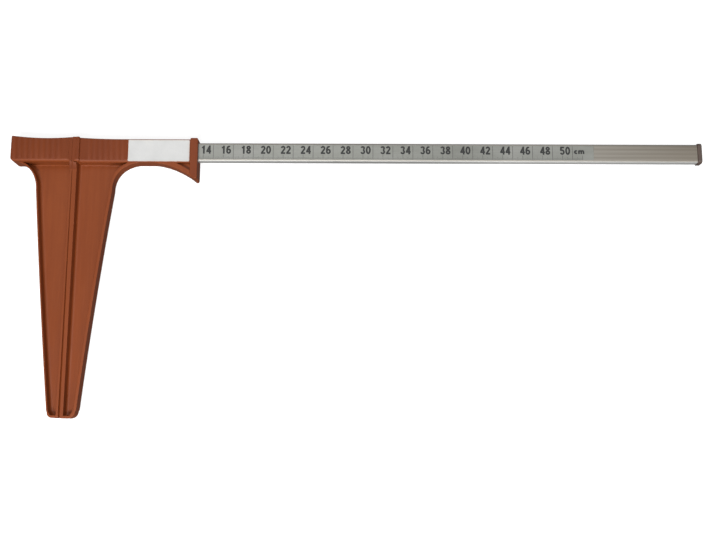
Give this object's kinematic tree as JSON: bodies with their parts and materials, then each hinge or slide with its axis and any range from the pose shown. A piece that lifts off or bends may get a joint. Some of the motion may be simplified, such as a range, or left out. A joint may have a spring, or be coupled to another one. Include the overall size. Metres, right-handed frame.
{
  "type": "sliding caliper",
  "caption": "Large sliding caliper: tapered plastic jaws on a flat hollow aluminium rule with a centimetre scale, the outer jaw fixed and the other on a long sleeve with a finger flare.",
  "frame": {"origin": "on the flat back of the heads, at the plane where the closed jaws meet (scale zero) and on the rule's centreline; the fixed head's edge is 0.15 mm to the -X side of it", "axes": "+X along the rule towards the end cap, -Y towards the jaw tips, +Z out of the graduated face"},
  "size_m": [0.6909, 0.2792, 0.021],
  "materials": {
    "rule_aluminium": "satin anodised, fine lengthwise drawing lines",
    "scale_foil": "matte printed foil, grey-green",
    "core_plastic": "plain moulded",
    "jaw_plastic": "injection-moulded, slight sheen, terracotta brown",
    "cap_plastic": "moulded, dark brown",
    "glide_plastic": "smooth natural acetal",
    "zinc_steel": "bright zinc plate",
    "label_paper": "matte white paper label"
  },
  "bodies": {
    "fixed": {"rule_beam": "rule_aluminium", "scale_strip": "scale_foil", "rule_core_plug": "core_plastic", "fixed_jaw": "jaw_plastic", "fixed_jaw_screws": "zinc_steel", "end_cap": "cap_plastic"},
    "slider": {"sliding_jaw": "jaw_plastic", "upper_left_pad": "glide_plastic", "lower_left_pad": "glide_plastic", "upper_right_pad": "glide_plastic", "lower_right_pad": "glide_plastic", "front_pads": "glide_plastic", "rear_pads": "glide_plastic", "upper_adjusting_screw": "zinc_steel", "lower_adjusting_screw": "zinc_steel", "label_sticker": "label_paper"}
  },
  "joints": [
    {"name": "jaw_slide", "type": "slide", "parent": "fixed", "child": "slider", "axis": [1, 0, 0], "range_m": [0, 0.5]}
  ]
}
